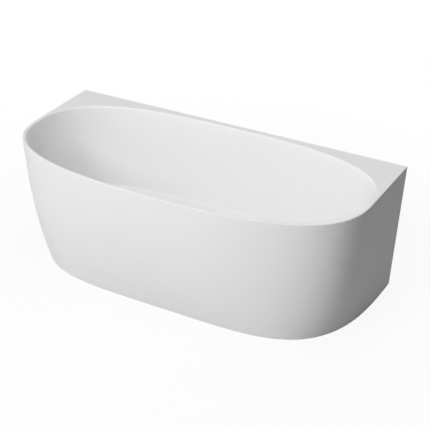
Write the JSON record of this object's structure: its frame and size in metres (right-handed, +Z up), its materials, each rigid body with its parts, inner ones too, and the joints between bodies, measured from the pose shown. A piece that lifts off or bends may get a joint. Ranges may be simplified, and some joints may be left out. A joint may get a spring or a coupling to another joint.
{
  "type": "bathtub",
  "caption": "White back-to-wall bathtub with an oval well, square back corners, bowed tapering skirt, levelling feet, click plug and trap.",
  "frame": {"origin": "on the floor, in the middle of the bath's outline", "axes": "+X along the bath to the right seen from the front, +Y towards the wall, +Z up"},
  "size_m": [1.5001, 0.6999, 0.545],
  "materials": {
    "white_shell": "satin white acrylic",
    "board": "bare chipboard",
    "resin": "glass-filled resin",
    "frame_paint": "dark grey powder coat",
    "zinc_steel": "zinc plated",
    "pad_plastic": "black moulded",
    "chrome": "polished chrome",
    "seal_rubber": "black rubber",
    "brass": "bare turned brass",
    "cartridge_plastic": "grey moulded",
    "trap_plastic": "white moulded"
  },
  "bodies": {
    "bath": {"basin": "white_shell", "outer_skirt": "white_shell", "base_board": "board", "rear_batten": "board", "foot_ring": "resin", "rail_front": "frame_paint", "rail_rear": "frame_paint", "cross_member_left": "frame_paint", "cross_member_middle": "frame_paint", "cross_member_right": "frame_paint", "skirt_bracket_left": "frame_paint", "skirt_bracket_middle": "frame_paint", "skirt_bracket_right": "frame_paint", "rail_screws": "zinc_steel", "bracket_screws": "zinc_steel", "frame_bolts": "zinc_steel", "foot_nuts": "zinc_steel", "plug_spring": "zinc_steel", "waste_flange": "chrome", "flange_seal": "seal_rubber", "lower_seal": "seal_rubber", "trap_bowl_seal": "seal_rubber", "inlet_washer": "seal_rubber", "outlet_seal": "seal_rubber", "back_nut": "brass", "click_cartridge": "cartridge_plastic", "trap_head": "trap_plastic", "trap_bowl": "trap_plastic", "inlet_nut": "trap_plastic", "outlet_nut": "trap_plastic", "outlet_pipe": "trap_plastic"},
    "plug": {"plug_cap": "chrome", "plug_seal": "seal_rubber", "plug_stem": "brass"},
    "foot_front_left": {"foot_stud_front_left": "zinc_steel", "foot_pad_front_left": "pad_plastic"},
    "foot_rear_left": {"foot_stud_rear_left": "zinc_steel", "foot_pad_rear_left": "pad_plastic"},
    "foot_middle": {"foot_stud_middle": "zinc_steel", "foot_pad_middle": "pad_plastic"},
    "foot_front_right": {"foot_stud_front_right": "zinc_steel", "foot_pad_front_right": "pad_plastic"},
    "foot_rear_right": {"foot_stud_rear_right": "zinc_steel", "foot_pad_rear_right": "pad_plastic"}
  },
  "joints": [
    {"name": "plug_click", "type": "slide", "parent": "bath", "child": "plug", "axis": [0, 0, 1], "range_m": [0, 0.009], "deforming": ["plug_spring"]},
    {"name": "foot_front_left_level", "type": "slide", "parent": "bath", "child": "foot_front_left", "axis": [0, 0, -1], "range_m": [0, 0.025]},
    {"name": "foot_rear_left_level", "type": "slide", "parent": "bath", "child": "foot_rear_left", "axis": [0, 0, -1], "range_m": [0, 0.025]},
    {"name": "foot_middle_level", "type": "slide", "parent": "bath", "child": "foot_middle", "axis": [0, 0, -1], "range_m": [0, 0.025]},
    {"name": "foot_front_right_level", "type": "slide", "parent": "bath", "child": "foot_front_right", "axis": [0, 0, -1], "range_m": [0, 0.025]},
    {"name": "foot_rear_right_level", "type": "slide", "parent": "bath", "child": "foot_rear_right", "axis": [0, 0, -1], "range_m": [0, 0.025]}
  ]
}
